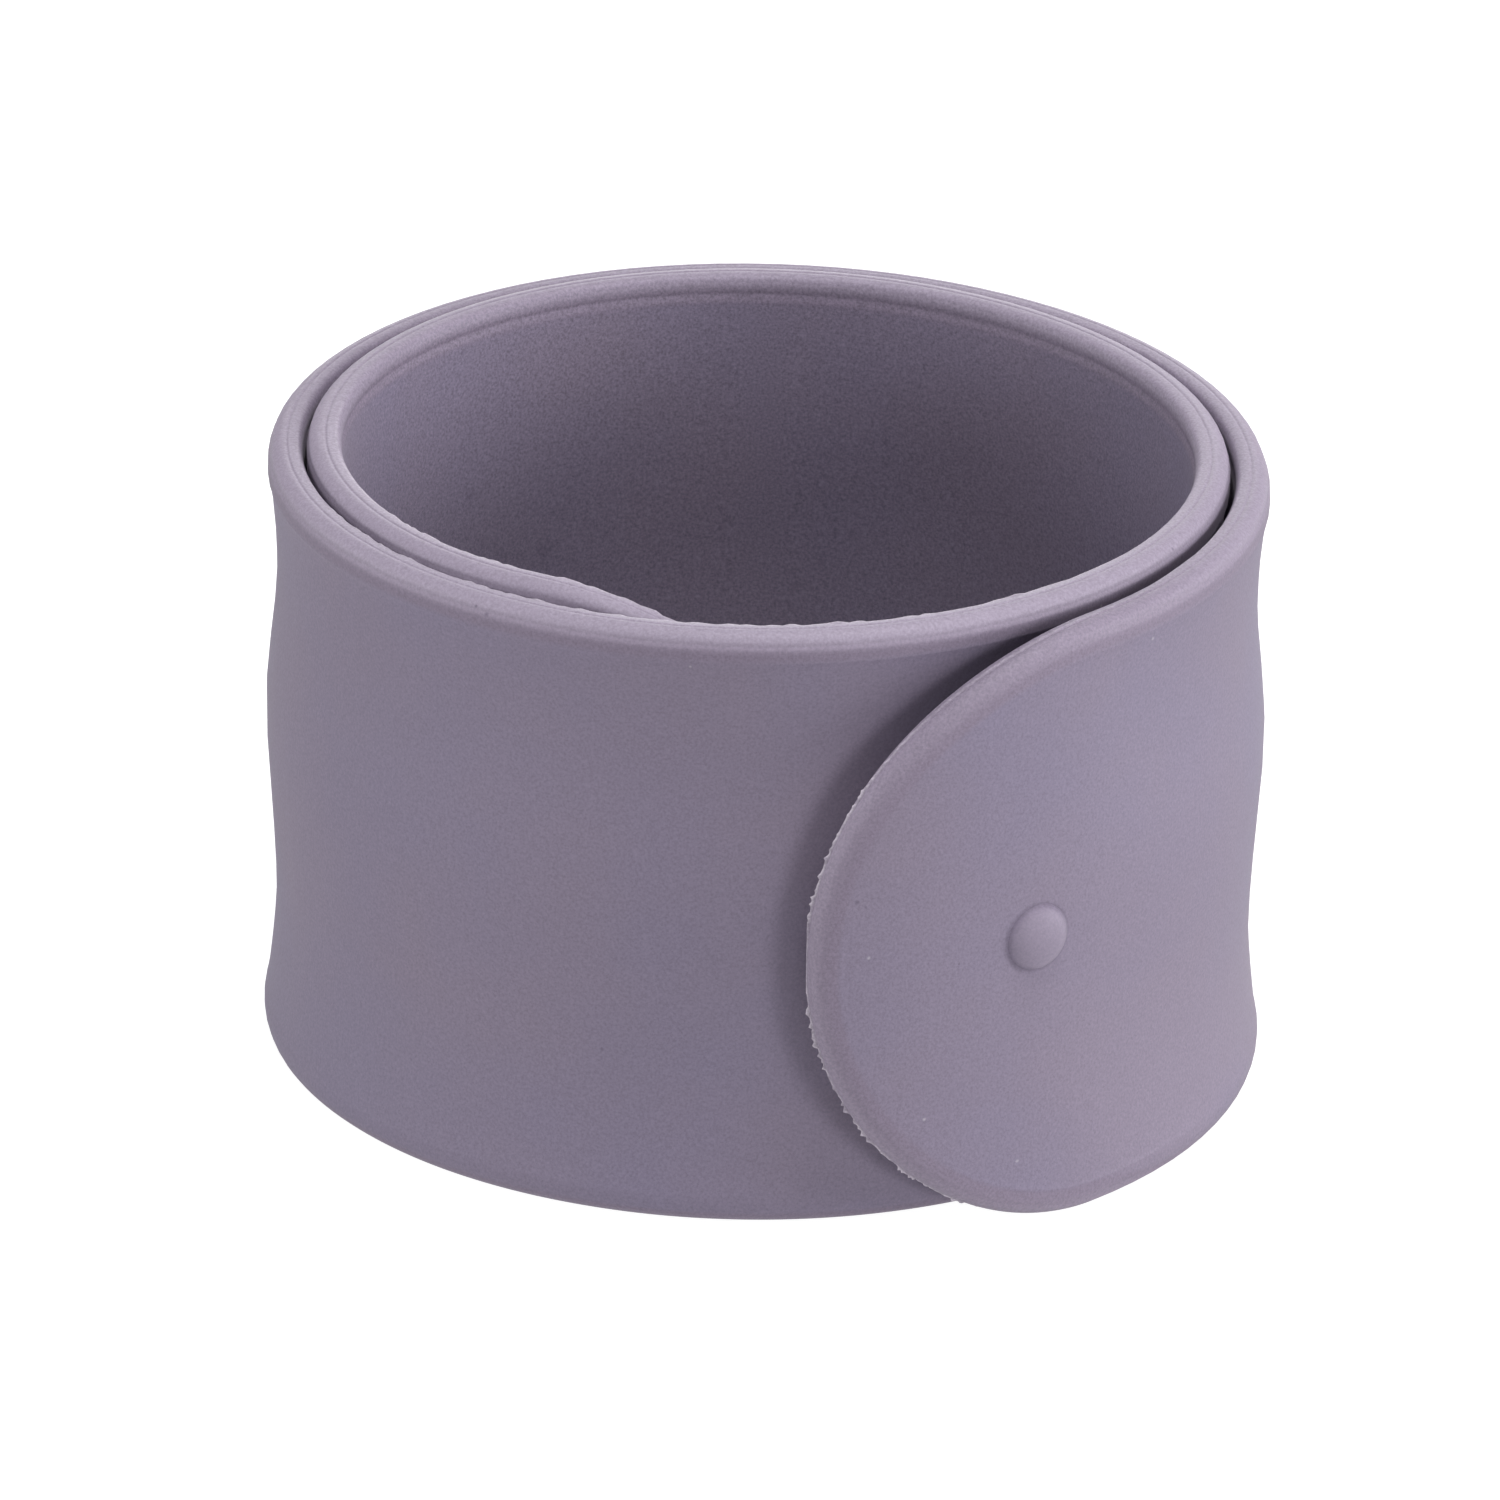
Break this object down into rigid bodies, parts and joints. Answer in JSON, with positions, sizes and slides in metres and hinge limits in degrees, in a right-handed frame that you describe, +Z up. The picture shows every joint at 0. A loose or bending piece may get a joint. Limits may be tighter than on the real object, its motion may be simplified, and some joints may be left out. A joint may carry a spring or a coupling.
{
  "type": "slap bracelet",
  "caption": "Slap bracelet snapped shut: a flat silicone band with rounded ends and a sealed spring strip, coiled round an open wrist hollow",
  "frame": {"origin": "middle of the base on the surface the coil stands on, at the centre of its outline seen from above", "axes": "+Z up along the axis of the coil, -Y towards the tongue of the outer end at the front, +X to the right of someone who faces the tongue"},
  "size_m": [0.0398, 0.0416, 0.0255],
  "materials": {
    "silicone": "soft matte mauve-grey silicone",
    "spring_steel": "bare cold-rolled spring steel, hidden in the band"
  },
  "bodies": {
    "root": {"silicone_band": "silicone", "spring_strip": "spring_steel"}
  },
  "joints": []
}
